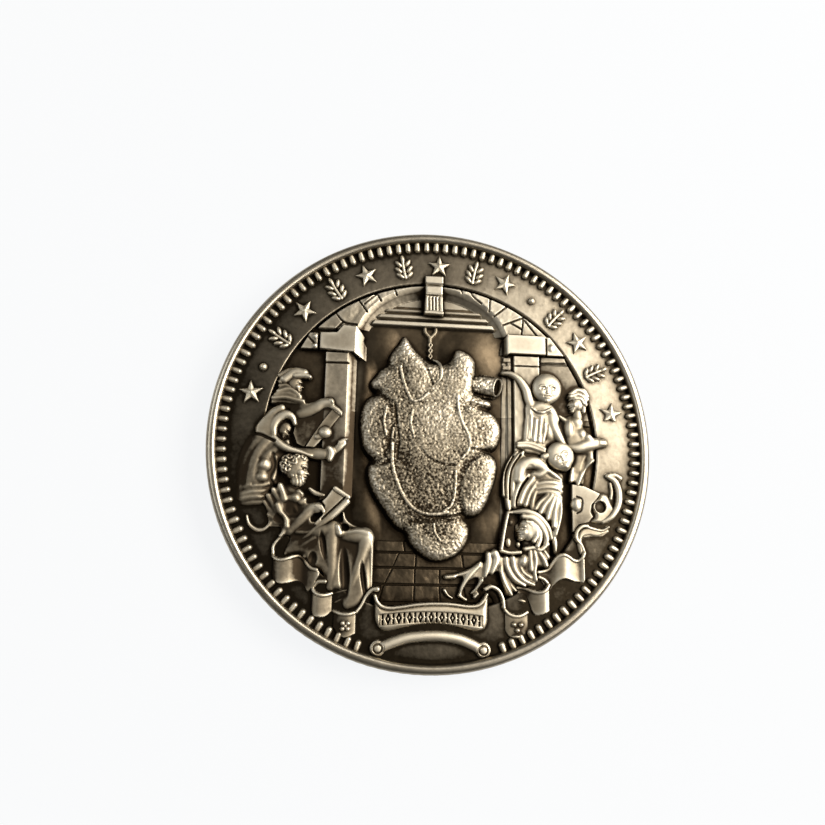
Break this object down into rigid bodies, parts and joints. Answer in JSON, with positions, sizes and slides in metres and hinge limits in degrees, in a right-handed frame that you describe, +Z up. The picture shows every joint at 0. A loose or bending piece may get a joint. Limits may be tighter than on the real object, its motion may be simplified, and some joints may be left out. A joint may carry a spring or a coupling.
{
  "type": "challenge coin",
  "caption": "Round struck medal with raised rim, toothed border, ring of star and leaf ornaments, and a high-relief gateway scene with a hanging heart and draped figures.",
  "frame": {"origin": "centre of the plane that the back of the rim rests on", "axes": "+Z up through the front face, square to the coin; +Y towards the top of the design; +X to the design's right"},
  "size_m": [0.038, 0.038, 0.003],
  "materials": {
    "silver_rim": "antique silver plate, polished",
    "silver_field": "antique silver plate, darkened",
    "silver_relief": "antique silver plate, rubbed back on the high points",
    "silver_granular": "antique silver plate, granular"
  },
  "bodies": {
    "root": {"arch_stones_left": "silver_relief", "arch_stones_right": "silver_relief", "back_medallion": "silver_relief", "back_teeth": "silver_relief", "border_teeth": "silver_relief", "capped_man": "silver_relief", "chain": "silver_relief", "coin_body": "silver_field", "column_left": "silver_relief", "column_right": "silver_relief", "drawing_board": "silver_relief", "floor_tiles": "silver_relief", "heart": "silver_granular", "heart_vessel": "silver_granular", "hooded_man": "silver_relief", "hook": "silver_relief", "impost_left": "silver_relief", "impost_right": "silver_relief", "keystone": "silver_relief", "kneeling_woman": "silver_relief", "laurel_branch_left": "silver_relief", "laurel_branch_right": "silver_relief", "lintel": "silver_relief", "ornament_band": "silver_relief", "ornament_beads": "silver_relief", "ornament_sprigs": "silver_relief", "ornament_stars": "silver_relief", "picture_frame": "silver_relief", "rear_pilaster": "silver_relief", "rear_woman": "silver_relief", "ribbon_centre": "silver_relief", "ribbon_left": "silver_relief", "ribbon_right": "silver_relief", "rim_ring": "silver_rim", "robed_woman": "silver_relief", "scroll_bar": "silver_relief", "seated_scribe": "silver_relief", "standing_woman": "silver_relief", "stone_block": "silver_relief", "wreath_tie": "silver_relief", "writing_tablet": "silver_relief"}
  },
  "joints": []
}
